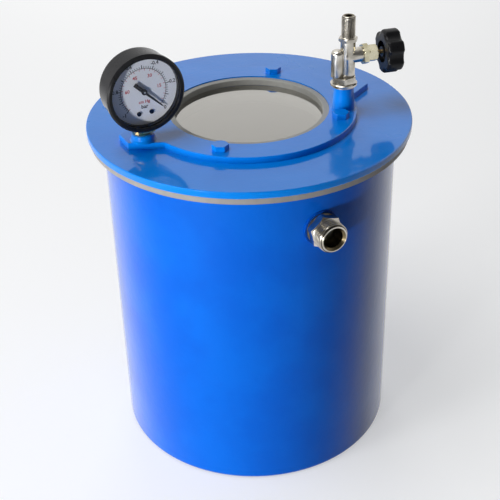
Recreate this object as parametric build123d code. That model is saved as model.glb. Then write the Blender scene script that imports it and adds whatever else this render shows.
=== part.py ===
"""Steel vacuum chamber: a welded round vessel, a loose lid with a bolted sight glass, a dial
vacuum gauge, a needle valve on top and a threaded pump port in the side.

Frame: millimetres, +Z up, origin at the centre of the vessel's underside. The pump port,
gauge and valve are placed by their bearing round the vessel's axis, counted from +X.
"""

import os
from math import atan2, cos, degrees, pi, radians, sin, sqrt

from build123d import *

# ---------------------------------------------------------------- vessel and lid
VESSEL_BORE = 200.0
VESSEL_WALL = 4.0
VESSEL_HEIGHT = 243.0
BASE_THICKNESS = 5.0
BASE_EDGE_RADIUS = 3.2
LID_DIAMETER = 230.0
LID_THICKNESS = 5.0
LID_EDGE_RADIUS = 0.8
GASKET_THICKNESS = 4.5
GASKET_INSET = 1.7
GASKET_WIDTH = 20.0
WELD_GAP = 0.05

# ---------------------------------------------------------------- sight glass and its clamp
WINDOW_RADIUS = 56.8
CLAMP_RADIUS = 76.5
CLAMP_THICKNESS = 4.5
CLAMP_EDGE_RADIUS = 0.5
EAR_BEARING = 27.5
EAR_REACH = 95.6
EAR_TIP_WIDTH = 15.6
EAR_ROOT_WIDTH = 38.6
GLASS_RADIUS = 60.5
GLASS_THICKNESS = 8.0
GLASS_CLEARANCE = 0.4
SEAT_RING_THICKNESS = 10.0
SEAT_LIP_THICKNESS = 5.0
SEAT_LIP_RADIUS = 53.5
LOWER_SEAL_THICKNESS = 1.2
SEAL_SHOW = 4.3
SEAL_SINK = 0.9
BOLT_CIRCLE_RADIUS = 66.5
BOLT_COUNT = 4
BOLT_BEARING = -17.0
BOLT_SHANK_RADIUS = 3.0
BOLT_HEAD_FLATS = 10.0
BOLT_HEAD_HEIGHT = 4.0
BOLT_CLEARANCE = 0.3

# ---------------------------------------------------------------- pump port
PORT_BEARING = -64.4
PORT_DROP = 34.0
PORT_THREAD_RADIUS = 10.48
PORT_BORE_RADIUS = 6.8
PORT_BEVEL = 1.5
PORT_THREAD_LENGTH = 10.0
PORT_HEX_FLATS = 21.0
PORT_HEX_LENGTH = 5.8
PORT_WASHER_THICKNESS = 1.2
BUSH_RADIUS = 12.4
BUSH_PROUD = 1.0
BUSH_DEPTH = 4.0
THREAD_CLEARANCE = 0.05

# ---------------------------------------------------------------- gauge
GAUGE_RADIUS_FROM_AXIS = 84.4
GAUGE_BEARING = -147.8
GAUGE_TURN = 26.0
GAUGE_CENTRE_HEIGHT = 37.5
GAUGE_BOSS_HEIGHT = 5.0
GAUGE_BOSS_TOP_RADIUS = 7.6
GAUGE_BOSS_FLARE = 1.6
GAUGE_CASE_RADIUS = 25.6
GAUGE_CASE_WALL = 0.8
GAUGE_CASE_BACK = 7.0
GAUGE_FRONT = 14.0
BEZEL_RADIUS = 26.8
BEZEL_OPENING_RADIUS = 23.2
BEZEL_DEPTH = 4.0
BEZEL_FACE = 1.2
LENS_THICKNESS = 1.4
LENS_CLEARANCE = 0.1
DIAL_DEPTH = 6.0
DIAL_THICKNESS = 0.8
DIAL_SCREW_ACROSS = 4.4
DIAL_SCREW_DROP = -15.0
DIAL_SCREW_RADIUS = 0.8
DIAL_SCREW_LENGTH = 1.6
STEM_SQUARE = 14.0
STEM_THREAD_RADIUS = 4.86
STEM_THREAD_LENGTH = 9.0
STEM_BORE_RADIUS = 1.6
STEM_SHOULDER_RADIUS = 6.6

# gauge movement
BOURDON_RADIUS = 18.0
BOURDON_WIDTH = 5.0
BOURDON_DEPTH = 2.2
BOURDON_START = -72.0
BOURDON_SWEEP = 262.0
BOURDON_MIDDLE = 0.5
BLOCK_WIDTH = 12.0
BLOCK_BACK = 5.0
BLOCK_TOP = -13.5
GEAR_MODULE = 0.3
PINION_TEETH = 8
SECTOR_TEETH_FULL_CIRCLE = 72
SECTOR_TEETH = 13
GEAR_FACE = 1.4
TOOTH_SHARE = 0.36
TOOTH_TIP_SHARE = 0.55
LINK_PIN_RADIUS = 0.5
LINK_EYE_RADIUS = 1.1
LINK_WIDTH = 1.4
LINK_THICKNESS = 0.6
LINK_GAP = 0.15
TIP_LEAD = 4.0
TIP_CLEARANCE = 0.35
HAIRSPRING_INNER = 1.25
HAIRSPRING_OUTER = 2.45
HAIRSPRING_WALL = 0.14
HAIRSPRING_HEIGHT = 0.6
HAIRSPRING_LIFT = 0.25
HAIRSPRING_TURNS = 2
SECTOR_TAIL = 6.0
SECTOR_TAIL_BEARING = 196.0
PLATE_THICKNESS = 1.0
PILLAR_RADIUS = 0.7
MOVEMENT_DEPTH = 6.0
ARBOR_RADIUS = 0.6
ARBOR_PROUD = 2.6
POINTER_LENGTH = 18.6
POINTER_TAIL = 9.0
POINTER_TAIL_WIDTH = 2.6
POINTER_THICKNESS = 0.5
POINTER_HUB_RADIUS = 2.0
POINTER_REST = 45.0
RUNNING_CLEARANCE = 0.06

# ---------------------------------------------------------------- needle valve
VALVE_BEARING = -4.0
VALVE_RADIUS_FROM_AXIS = 66.5
VALVE_TURN = 14.0
VALVE_BOSS_HEIGHT = 17.2
VALVE_BOSS_TOP_RADIUS = 6.6
VALVE_BOSS_ROOT_RADIUS = 8.1
VALVE_BOSS_FLARE = 0.8
PASSAGE_RADIUS = 2.2
VALVE_WASHER_THICKNESS = 1.2
VALVE_FLANGE_RADIUS = 9.4
VALVE_FLANGE_THICKNESS = 1.8
VALVE_HEX_FLATS = 15.5
VALVE_HEX_HEIGHT = 4.6
VALVE_SPIGOT_RADIUS = 4.3
VALVE_SPIGOT_LENGTH = 10.0
BARREL_RADIUS = 5.2
BARREL_OFFSET = 2.4
BARREL_TOP = 31.3
INLET_LOBE_RADIUS = 4.5
INLET_LOBE_OFFSET = -4.9
INLET_LOBE_TOP = 25.4
INLET_BORE_RADIUS = 1.6
INLET_BORE_OFFSET = -2.6
OUTLET_BORE_RADIUS = 2.4
COLLAR_FLATS = 12.0
COLLAR_HEIGHT = 2.4
OUTLET_THREAD_RADIUS = 4.86
OUTLET_THREAD_LENGTH = 15.2
BRANCH_HEIGHT = 20.3
BRANCH_RADIUS = 5.2
BRANCH_LENGTH = 12.6
BONNET_FLATS = 13.0
BONNET_LENGTH = 3.8
GLAND_FLATS = 10.6
GLAND_LENGTH = 6.4
SEAT_RADIUS = 1.3
SEAT_FACE = 0.2
STEM_RADIUS = 1.5
STEM_SCREW_RADIUS = 2.4
STEM_SCREW_START = 5.0
STEM_SCREW_LENGTH = 5.5
NEEDLE_TIP = -0.6
NEEDLE_TIP_RADIUS = 0.8
PACKING_RADIUS = 3.4
PACKING_LENGTH = 2.4
PACKING_CLEARANCE = 0.3
KNOB_RADIUS = 15.2
KNOB_LOBES = 6
KNOB_SCALLOP_RADIUS = 6.0
KNOB_SCALLOP_CENTRE = 19.0
KNOB_LOBE_FILLET = 2.0
KNOB_EDGE_FILLET = 2.2
KNOB_THICKNESS = 12.0
KNOB_START = 27.0
KNOB_DISH_RADIUS = 7.6
KNOB_DISH_DEPTH = 3.0
KNOB_HUB_RADIUS = 3.6
KNOB_SCREW_RADIUS = 2.6
KNOB_SCREW_HEAD = 1.6

# ---------------------------------------------------------------- sizes that follow
VESSEL_RADIUS = VESSEL_BORE / 2 + VESSEL_WALL
LID_RADIUS = LID_DIAMETER / 2
LID_BOTTOM = VESSEL_HEIGHT + GASKET_THICKNESS
LID_TOP = LID_BOTTOM + LID_THICKNESS
CLAMP_TOP = LID_TOP + CLAMP_THICKNESS
SEAT_RING_BOTTOM = LID_BOTTOM - SEAT_RING_THICKNESS
LIP_TOP = SEAT_RING_BOTTOM + SEAT_LIP_THICKNESS
GLASS_BOTTOM = LIP_TOP + LOWER_SEAL_THICKNESS
GLASS_TOP = GLASS_BOTTOM + GLASS_THICKNESS
WINDOW_HOLE_RADIUS = GLASS_RADIUS + GLASS_CLEARANCE
PORT_HEIGHT = LID_BOTTOM - PORT_DROP
BUSH_FACE = VESSEL_RADIUS + BUSH_PROUD
PORT_HEX_START = BUSH_FACE + PORT_WASHER_THICKNESS
PORT_HEX_END = PORT_HEX_START + PORT_HEX_LENGTH
PORT_MOUTH = PORT_HEX_END + PORT_THREAD_LENGTH
GAUGE_CENTRE = CLAMP_TOP + GAUGE_CENTRE_HEIGHT
GAUGE_STEM_FOOT = GAUGE_BOSS_HEIGHT - GAUGE_CENTRE_HEIGHT
DIAL_FRONT = -GAUGE_FRONT + DIAL_DEPTH
PINION_RADIUS = GEAR_MODULE * PINION_TEETH / 2
SECTOR_RADIUS = GEAR_MODULE * SECTOR_TEETH_FULL_CIRCLE / 2
SECTOR_PIVOT = -(PINION_RADIUS + SECTOR_RADIUS)
MOVEMENT_FRONT = DIAL_FRONT + DIAL_THICKNESS
VALVE_FOOT = CLAMP_TOP + VALVE_BOSS_HEIGHT + VALVE_WASHER_THICKNESS
BODY_START = VALVE_FLANGE_THICKNESS + VALVE_HEX_HEIGHT
BONNET_END = BRANCH_LENGTH + BONNET_LENGTH
GLAND_END = BONNET_END + GLAND_LENGTH
PACKING_START = BONNET_END - PACKING_LENGTH
STEM_END = KNOB_START + KNOB_THICKNESS - 3.0
FROM_BASE = (Align.CENTER, Align.CENTER, Align.MIN)


# ---------------------------------------------------------------- shared shapes
def turned(*outline):
    """The solid that an outline of (radius, height) points sweeps about Z."""
    points = [(radius, 0, height) for radius, height in outline]
    face = make_face(Polyline(*points, close=True))
    return revolve(face, Axis.Z, 360)


def rod(radius, low, high):
    """A plain cylinder on Z between two heights."""
    return Pos(0, 0, low) * Cylinder(radius, high - low, align=FROM_BASE)


def pipe(outer, inner, low, high):
    """A plain ring on Z between two heights."""
    return rod(outer, low, high) - rod(inner, low, high)


def hexagon(flats, low, high, chamfer=0.6):
    """A hexagon across flats on Z, with both ends' corners turned off as on a nut."""
    corner = flats / sqrt(3)
    prism = Pos(0, 0, low) * extrude(RegularPolygon(corner, 6), high - low)
    flat = flats / 2 + 0.2
    turn = turned(
        (0, low),
        (flat, low),
        (corner + 0.01, low + chamfer),
        (corner + 0.01, high - chamfer),
        (flat, high),
        (0, high),
    )
    return prism & turn


def polar(radius, bearing, height=0.0):
    """A place at a radius and a bearing in degrees round Z."""
    return Pos(radius * cos(radians(bearing)), radius * sin(radians(bearing)), height)


PORT_PLACE = Rot(0, 0, PORT_BEARING) * Pos(0, 0, PORT_HEIGHT) * Rot(0, 90, 0)
GAUGE_PLACE = polar(GAUGE_RADIUS_FROM_AXIS, GAUGE_BEARING, GAUGE_CENTRE) * Rot(0, 0, GAUGE_TURN)
GAUGE_BOSS_PLACE = polar(GAUGE_RADIUS_FROM_AXIS, GAUGE_BEARING)
VALVE_BOSS_PLACE = polar(VALVE_RADIUS_FROM_AXIS, VALVE_BEARING)
VALVE_PLACE = polar(VALVE_RADIUS_FROM_AXIS, VALVE_BEARING, VALVE_FOOT) * Rot(0, 0, VALVE_TURN)
STEM_PLACE = VALVE_PLACE * Pos(0, 0, BRANCH_HEIGHT) * Rot(0, 90, 0)
BOLT_PLACES = [
    polar(BOLT_CIRCLE_RADIUS, BOLT_BEARING + 360 / BOLT_COUNT * n) for n in range(BOLT_COUNT)
]


# ---------------------------------------------------------------- vessel
def vessel_shell():
    """Rolled and welded tube, with its foot rounded and a hole for the port bush."""
    tube = pipe(VESSEL_RADIUS, VESSEL_BORE / 2, 0, VESSEL_HEIGHT)
    foot = tube.edges().filter_by(GeomType.CIRCLE).group_by(Axis.Z)[0].sort_by(SortBy.RADIUS)[-1]
    tube = fillet(foot, BASE_EDGE_RADIUS)
    hole = PORT_PLACE * rod(BUSH_RADIUS + WELD_GAP, VESSEL_BORE / 2 - BUSH_DEPTH, PORT_MOUTH)
    return tube - hole


def vessel_base():
    """Flat disc welded inside the foot of the shell."""
    return rod(VESSEL_BORE / 2 - WELD_GAP, 0, BASE_THICKNESS)


def port_bush():
    """Threaded bush welded through the wall."""
    inner = VESSEL_BORE / 2 - BUSH_DEPTH
    return PORT_PLACE * pipe(BUSH_RADIUS, PORT_THREAD_RADIUS + THREAD_CLEARANCE, inner, BUSH_FACE)


def port_washer():
    """Flat sealing washer between the bush and the nipple's hexagon."""
    bore = PORT_THREAD_RADIUS + 2 * THREAD_CLEARANCE
    return PORT_PLACE * pipe(PORT_HEX_FLATS / 2 + 0.6, bore, BUSH_FACE, PORT_HEX_START)


def port_nipple():
    """Hexagon nipple, threaded at both ends, with a countersunk bore."""
    inner = VESSEL_BORE / 2 - BUSH_DEPTH + 1
    bevel = PORT_BEVEL
    turn = turned(
        (PORT_BORE_RADIUS, inner),
        (PORT_THREAD_RADIUS - bevel, inner),
        (PORT_THREAD_RADIUS, inner + bevel),
        (PORT_THREAD_RADIUS, PORT_MOUTH - bevel),
        (PORT_THREAD_RADIUS - bevel, PORT_MOUTH),
        (PORT_BORE_RADIUS + bevel, PORT_MOUTH),
        (PORT_BORE_RADIUS, PORT_MOUTH - bevel),
    )
    collar = hexagon(PORT_HEX_FLATS, PORT_HEX_START, PORT_HEX_END, 1.0)
    bore = rod(PORT_BORE_RADIUS, PORT_HEX_START, PORT_HEX_END)
    return PORT_PLACE * (turn + Rot(0, 0, 12) * (collar - bore))


# ---------------------------------------------------------------- lid
def lid_passages(low, high):
    """The gauge's and the valve's gas holes through the lid's plates."""
    gauge = GAUGE_BOSS_PLACE * rod(STEM_THREAD_RADIUS + THREAD_CLEARANCE, low, high)
    return gauge + VALVE_BOSS_PLACE * rod(PASSAGE_RADIUS, low, high)


def bolt_holes(radius, low, high):
    """The clamp bolts' holes."""
    holes = BOLT_PLACES[0] * rod(radius, low, high)
    for place in BOLT_PLACES[1:]:
        holes += place * rod(radius, low, high)
    return holes


def lid_plate():
    """Round plate, with the window's hole and rounded painted edges."""
    plate = rod(LID_RADIUS, LID_BOTTOM, LID_TOP)
    plate = fillet(plate.edges().filter_by(GeomType.CIRCLE), LID_EDGE_RADIUS)
    plate -= rod(WINDOW_HOLE_RADIUS, LID_BOTTOM, LID_TOP)
    plate -= lid_passages(LID_BOTTOM, LID_TOP)
    return plate - bolt_holes(BOLT_SHANK_RADIUS + BOLT_CLEARANCE, LID_BOTTOM, LID_TOP)


def lid_gasket():
    """Flat silicone ring bonded under the lid, which the vessel's rim presses."""
    outer = LID_RADIUS - GASKET_INSET
    return pipe(outer, outer - GASKET_WIDTH, VESSEL_HEIGHT, LID_BOTTOM)


def clamp_ring():
    """Plate ring with two tapered ears, which clamps the sight glass."""
    tip, root = EAR_TIP_WIDTH / 2, EAR_ROOT_WIDTH / 2
    root_reach = sqrt(CLAMP_RADIUS**2 - root**2)
    ear = [
        (WINDOW_RADIUS, -root),
        (root_reach, -root),
        (EAR_REACH, -tip),
        (EAR_REACH, tip),
        (root_reach, root),
        (WINDOW_RADIUS, root),
    ]
    outline = Circle(CLAMP_RADIUS)
    for bearing in (EAR_BEARING, EAR_BEARING + 180):
        outline += Rot(0, 0, bearing) * make_face(Polyline(*ear, close=True))
    plate = Pos(0, 0, LID_TOP) * extrude(outline, CLAMP_THICKNESS)
    plate = fillet(plate.edges().group_by(Axis.Z)[-1], CLAMP_EDGE_RADIUS)
    plate -= rod(WINDOW_RADIUS, LID_TOP, CLAMP_TOP)
    plate -= lid_passages(LID_TOP, CLAMP_TOP)
    return plate - bolt_holes(BOLT_SHANK_RADIUS + BOLT_CLEARANCE, LID_TOP, CLAMP_TOP)


def window_seat():
    """Ring under the lid, with the lip that carries the glass and the bolts' threads."""
    ring = rod(CLAMP_RADIUS, SEAT_RING_BOTTOM, LID_BOTTOM)
    ring -= rod(WINDOW_HOLE_RADIUS, LIP_TOP, LID_BOTTOM)
    ring -= rod(SEAT_LIP_RADIUS, SEAT_RING_BOTTOM, LIP_TOP)
    ring -= VALVE_BOSS_PLACE * rod(PASSAGE_RADIUS, SEAT_RING_BOTTOM, LID_BOTTOM)
    return ring - bolt_holes(BOLT_SHANK_RADIUS + THREAD_CLEARANCE, SEAT_RING_BOTTOM, LID_BOTTOM)


def window_seal_lower():
    """Flat rubber ring under the glass."""
    return pipe(GLASS_RADIUS, SEAT_LIP_RADIUS + 0.4, LIP_TOP, GLASS_BOTTOM)


def window_glass():
    """Toughened glass disc with ground edges."""
    disc = rod(GLASS_RADIUS, GLASS_BOTTOM, GLASS_TOP)
    return chamfer(disc.edges().filter_by(GeomType.CIRCLE), 0.5)


def window_seal_upper():
    """Rubber ring between the glass and the clamp ring, which also lines the ring's hole."""
    outer, flange, inner = GLASS_RADIUS - 0.6, WINDOW_RADIUS - WELD_GAP, WINDOW_RADIUS - SEAL_SHOW
    lip = CLAMP_TOP - SEAL_SINK
    return turned(
        (inner, GLASS_TOP),
        (outer, GLASS_TOP),
        (outer, LID_TOP),
        (flange, LID_TOP),
        (flange, lip),
        (inner + 0.4, lip),
        (inner, lip - 0.4),
    )


def clamp_bolt(place):
    """Hexagon-head screw through the clamp ring and lid into the seat ring."""
    head = hexagon(BOLT_HEAD_FLATS, CLAMP_TOP, CLAMP_TOP + BOLT_HEAD_HEIGHT, 0.4)
    shank = rod(BOLT_SHANK_RADIUS, SEAT_RING_BOTTOM + 1.0, CLAMP_TOP)
    return place * (head + shank)


# ---------------------------------------------------------------- gauge
def gauge_boss():
    """Short threaded boss welded to the ear, with the weld's flare at its foot."""
    top = CLAMP_TOP + GAUGE_BOSS_HEIGHT
    foot = GAUGE_BOSS_TOP_RADIUS + GAUGE_BOSS_FLARE
    bore = STEM_THREAD_RADIUS + THREAD_CLEARANCE
    return GAUGE_BOSS_PLACE * turned(
        (bore, CLAMP_TOP),
        (foot, CLAMP_TOP),
        (GAUGE_BOSS_TOP_RADIUS + 0.5, CLAMP_TOP + GAUGE_BOSS_FLARE),
        (GAUGE_BOSS_TOP_RADIUS, top - 0.5),
        (GAUGE_BOSS_TOP_RADIUS - 0.5, top),
        (bore, top),
    )


def facing(solid):
    """Turns a solid made along +Z to face the gauge's front."""
    return Rot(90, 0, 0) * solid


def gauge_stem():
    """Brass stem: thread, shoulder, square for the spanner, and the movement's block."""
    foot = GAUGE_STEM_FOOT
    case_foot = -GAUGE_CASE_RADIUS
    square_foot = foot + 2.0
    thread = rod(STEM_THREAD_RADIUS, foot - STEM_THREAD_LENGTH, foot)
    thread = chamfer(thread.edges().group_by(Axis.Z)[0], 0.8)
    shoulder = turned((0, foot), (5.6, foot), (STEM_SHOULDER_RADIUS, square_foot), (0, square_foot))
    blank = extrude(Rectangle(STEM_SQUARE, STEM_SQUARE), case_foot - 1.2 - square_foot)
    blank = Pos(0, 0, square_foot) * chamfer(blank.edges().filter_by(Axis.Z), 1.4)
    neck = rod(4.6, case_foot - 1.2, case_foot + 2.4)
    block_foot = case_foot + 2.4
    block_front = MOVEMENT_FRONT + MOVEMENT_DEPTH
    block = extrude(Rectangle(BLOCK_WIDTH, BLOCK_BACK - block_front), BLOCK_TOP - block_foot)
    block = Pos(0, (BLOCK_BACK + block_front) / 2, block_foot) * block
    bore = rod(STEM_BORE_RADIUS, foot - STEM_THREAD_LENGTH, -BOURDON_RADIUS)
    stem = thread + shoulder + blank + neck + block - bore
    return GAUGE_PLACE * (stem - facing(Pos(0, 0, BOURDON_MIDDLE) * bourdon_sweep()))


def gauge_case():
    """Pressed steel cup, with the stem's hole in its side."""
    rim = GAUGE_FRONT - BEZEL_FACE - LENS_THICKNESS
    cup = rod(GAUGE_CASE_RADIUS, -GAUGE_CASE_BACK, rim)
    back = cup.edges().filter_by(GeomType.CIRCLE).group_by(Axis.Z)[0]
    cup = fillet(back, 3.0)
    hollow = rod(GAUGE_CASE_RADIUS - GAUGE_CASE_WALL, GAUGE_CASE_WALL - GAUGE_CASE_BACK, rim)
    hollow = fillet(hollow.edges().filter_by(GeomType.CIRCLE).group_by(Axis.Z)[0], 2.2)
    shell = facing(cup - hollow)
    stem_hole = rod(4.7, -GAUGE_CASE_RADIUS - 2, -GAUGE_CASE_RADIUS + 4)
    return GAUGE_PLACE * (shell - stem_hole)


def gauge_bezel():
    """Black rolled ring pressed over the case's rim, which holds the lens."""
    low, high = GAUGE_FRONT - BEZEL_DEPTH, GAUGE_FRONT
    inner = GAUGE_CASE_RADIUS + 0.02
    ring = turned(
        (inner, low),
        (BEZEL_RADIUS, low),
        (BEZEL_RADIUS, high - 1.2),
        (BEZEL_RADIUS - 1.2, high),
        (BEZEL_OPENING_RADIUS + 0.5, high),
        (BEZEL_OPENING_RADIUS, high - BEZEL_FACE),
        (inner, high - BEZEL_FACE),
    )
    return GAUGE_PLACE * facing(ring)


def gauge_lens():
    """Clear disc behind the bezel's lip."""
    high = GAUGE_FRONT - BEZEL_FACE
    return GAUGE_PLACE * facing(rod(GAUGE_CASE_RADIUS - LENS_CLEARANCE, high - LENS_THICKNESS, high))


def gauge_lens_ring():
    """Plain spacer tube between the case's rim and the lens, which hides the dial's edge."""
    low, high = GAUGE_FRONT - DIAL_DEPTH, GAUGE_FRONT - BEZEL_FACE - LENS_THICKNESS
    outer = GAUGE_CASE_RADIUS - GAUGE_CASE_WALL - 0.1
    return GAUGE_PLACE * facing(pipe(outer, BEZEL_OPENING_RADIUS, low, high))


def dial_screw_places():
    """The dial's two screws, low on each side of the middle."""
    return [facing(Pos(side * DIAL_SCREW_ACROSS, DIAL_SCREW_DROP, 0)) for side in (-1, 1)]


def gauge_dial():
    """White dial plate, with holes for the pointer's arbor and its two screws."""
    low = -DIAL_FRONT - DIAL_THICKNESS
    plate = rod(GAUGE_CASE_RADIUS - GAUGE_CASE_WALL - 0.3, low, -DIAL_FRONT)
    plate -= rod(1.3, low, -DIAL_FRONT)
    plate = facing(plate)
    for place in dial_screw_places():
        plate -= place * rod(DIAL_SCREW_RADIUS + THREAD_CLEARANCE, low, -DIAL_FRONT)
    return GAUGE_PLACE * plate


def dial_screw(place):
    """Slotted pan-head screw that holds the dial to the movement."""
    front = -DIAL_FRONT
    head = rod(1.5, front, front + 0.8)
    head -= Pos(0, 0, front + 0.8) * Box(3.2, 0.4, 0.8)
    return GAUGE_PLACE * place * (head + rod(DIAL_SCREW_RADIUS, front - DIAL_SCREW_LENGTH, front))


def movement_plates():
    """Two brass plates on pillars, fixed to the stem's block."""
    front = -MOVEMENT_FRONT
    back = front - MOVEMENT_DEPTH
    outline = Circle(4.2) + Pos(0, SECTOR_PIVOT) * Circle(4.2)
    outline += Pos(0, SECTOR_PIVOT / 2) * Rectangle(4.0, -SECTOR_PIVOT)
    holes = Circle(ARBOR_RADIUS + RUNNING_CLEARANCE)
    holes += Pos(0, SECTOR_PIVOT) * Circle(ARBOR_RADIUS + RUNNING_CLEARANCE)
    front_outline = outline
    for side in (-1, 1):
        centre = Pos(side * DIAL_SCREW_ACROSS, DIAL_SCREW_DROP)
        front_outline += centre * Circle(2.2)
        holes += centre * Circle(DIAL_SCREW_RADIUS + THREAD_CLEARANCE)
    upper = Pos(0, 0, front - PLATE_THICKNESS) * extrude(front_outline - holes, PLATE_THICKNESS)
    lower = Pos(0, 0, back) * extrude(outline - holes, PLATE_THICKNESS)
    plates = upper + lower
    for x, y in ((0, 3.2), (2.6, SECTOR_PIVOT - 2.4)):
        plates += Pos(x, y) * rod(PILLAR_RADIUS, back, front)
    return GAUGE_PLACE * facing(plates)


def gear_outline(teeth, first, count):
    """Straight-sided teeth on a blank, from one tooth on round a full circle's pitch."""
    pitch_radius = GEAR_MODULE * teeth / 2
    root, tip = pitch_radius - 1.2 * GEAR_MODULE, pitch_radius + 0.9 * GEAR_MODULE
    width = TOOTH_SHARE * pi * GEAR_MODULE
    tip_width = width * TOOTH_TIP_SHARE
    blank = Circle(root + 0.02)
    for n in range(first, first + count):
        tooth = [(root - 0.1, -width * 0.7), (tip, -tip_width / 2), (tip, tip_width / 2), (root - 0.1, width * 0.7)]
        blank += Rot(0, 0, n * 360 / teeth) * make_face(Polyline(*tooth, close=True))
    return blank


def gear_low():
    """Height of the gears' back face along the gauge's axis."""
    return -MOVEMENT_FRONT - MOVEMENT_DEPTH / 2 - GEAR_FACE / 2


def pointer_arbor():
    """Steel arbor with the eight-leaf pinion cut on it."""
    front, back = -MOVEMENT_FRONT, -MOVEMENT_FRONT - MOVEMENT_DEPTH
    tip = -DIAL_FRONT + ARBOR_PROUD
    arbor = rod(ARBOR_RADIUS, back, tip)
    pinion = Pos(0, 0, gear_low() - 0.2) * extrude(gear_outline(PINION_TEETH, 0, PINION_TEETH), GEAR_FACE + 0.4)
    half_tooth = 180 / PINION_TEETH
    return GAUGE_PLACE * facing(arbor + Rot(0, 0, half_tooth + 90) * pinion)


def pointer():
    """Blackened pointer: hub, broad tail and a tapered blade."""
    low = -DIAL_FRONT + 1.5
    blade = [
        (-POINTER_TAIL, -POINTER_TAIL_WIDTH / 2),
        (-1.0, -POINTER_TAIL_WIDTH / 2),
        (1.0, -0.9),
        (POINTER_LENGTH - 3.0, -0.45),
        (POINTER_LENGTH, 0),
        (POINTER_LENGTH - 3.0, 0.45),
        (1.0, 0.9),
        (-1.0, POINTER_TAIL_WIDTH / 2),
        (-POINTER_TAIL, POINTER_TAIL_WIDTH / 2),
    ]
    plate = extrude(make_face(Polyline(*blade, close=True)) + Circle(POINTER_HUB_RADIUS), POINTER_THICKNESS)
    hub = rod(1.3, -0.7, 1.1)
    whole = plate + hub - rod(ARBOR_RADIUS, -1, 2)
    return GAUGE_PLACE * facing(Pos(0, 0, low) * Rot(0, 0, -POINTER_REST) * whole)


def sector_gear():
    """Toothed quadrant on its own arbor, with the tail that the link pulls."""
    margin = 360 / SECTOR_TEETH_FULL_CIRCLE
    first = -(SECTOR_TEETH // 2)
    ring = gear_outline(SECTOR_TEETH_FULL_CIRCLE, first, SECTOR_TEETH)
    half = radians(SECTOR_TEETH / 2 * margin)
    reach = SECTOR_RADIUS + 2
    wedge = [(0, 0), (reach * cos(half), -reach * sin(half)), (reach * cos(half), reach * sin(half))]
    start = sector_start()
    fan = ring & make_face(Polyline(*wedge, close=True))
    fan -= Pos(SECTOR_RADIUS * 0.62, 0) * Circle(1.5)
    arm = Rot(0, 0, SECTOR_TAIL_BEARING) * (
        Pos(SECTOR_TAIL / 2, 0) * Rectangle(SECTOR_TAIL, 2.0) + Pos(SECTOR_TAIL, 0) * Circle(1.3)
    )
    outline = Rot(0, 0, 90 + start) * fan + Circle(2.0) + arm
    plate = Pos(0, 0, gear_low()) * extrude(outline, GEAR_FACE)
    arbor = rod(ARBOR_RADIUS, -MOVEMENT_FRONT - MOVEMENT_DEPTH, -MOVEMENT_FRONT)
    pin = rod(LINK_PIN_RADIUS, gear_low(), link_low() + LINK_THICKNESS)
    pin = Rot(0, 0, SECTOR_TAIL_BEARING) * Pos(SECTOR_TAIL, 0, 0) * pin
    return GAUGE_PLACE * facing(Pos(0, SECTOR_PIVOT, 0) * (plate + arbor + pin))


def link_low():
    """Height of the link's back face, just in front of the sector."""
    return gear_low() + GEAR_FACE + LINK_GAP


def gauge_link():
    """Flat link from the sector's tail to the Bourdon tube's end."""
    tail_x = SECTOR_TAIL * cos(radians(SECTOR_TAIL_BEARING))
    tail_y = SECTOR_PIVOT + SECTOR_TAIL * sin(radians(SECTOR_TAIL_BEARING))
    tip_bearing = radians(BOURDON_START + BOURDON_SWEEP + TIP_LEAD)
    reach_x = BOURDON_RADIUS * cos(tip_bearing) - tail_x
    reach_y = BOURDON_RADIUS * sin(tip_bearing) - tail_y
    length = sqrt(reach_x**2 + reach_y**2)
    bar = Pos(length / 2, 0) * Rectangle(length, LINK_WIDTH) + Circle(LINK_EYE_RADIUS)
    bar += Pos(length, 0) * Circle(LINK_EYE_RADIUS)
    hole = Circle(LINK_PIN_RADIUS + RUNNING_CLEARANCE)
    bar -= hole
    bar -= Pos(length, 0) * hole
    plate = Pos(0, 0, link_low()) * extrude(bar, LINK_THICKNESS)
    turn = degrees(atan2(reach_y, reach_x))
    return GAUGE_PLACE * facing(Pos(tail_x, tail_y, 0) * Rot(0, 0, turn) * plate)


def hairspring():
    """Flat spiral spring from beside the arbor to the upper pillar."""
    steps = HAIRSPRING_TURNS * 24
    spiral = []
    for side in (-1, 1):
        edge = []
        for n in range(steps + 1):
            share = n / steps
            radius = HAIRSPRING_INNER + (HAIRSPRING_OUTER - HAIRSPRING_INNER) * share
            radius += side * HAIRSPRING_WALL / 2
            turn = radians(90) + 2 * pi * HAIRSPRING_TURNS * share
            edge.append((radius * cos(turn), radius * sin(turn)))
        spiral += edge[::side]
    low = -MOVEMENT_FRONT - MOVEMENT_DEPTH + PLATE_THICKNESS + HAIRSPRING_LIFT
    ribbon = extrude(make_face(Polyline(*spiral, close=True)), HAIRSPRING_HEIGHT)
    return GAUGE_PLACE * facing(Pos(0, 0, low) * ribbon)


def sector_start():
    """Degrees that the quadrant's middle stands off the pinion at rest, a whole number of teeth."""
    return 3 * 360 / SECTOR_TEETH_FULL_CIRCLE


def bourdon_sweep():
    """The Bourdon tube's flattened section turned round its C."""
    profile = Rot(90, 0, 0) * SlotOverall(BOURDON_WIDTH, BOURDON_DEPTH, rotation=90)
    return Rot(0, 0, BOURDON_START) * revolve(Pos(BOURDON_RADIUS, 0, 0) * profile, Axis.Z, BOURDON_SWEEP)


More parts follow.
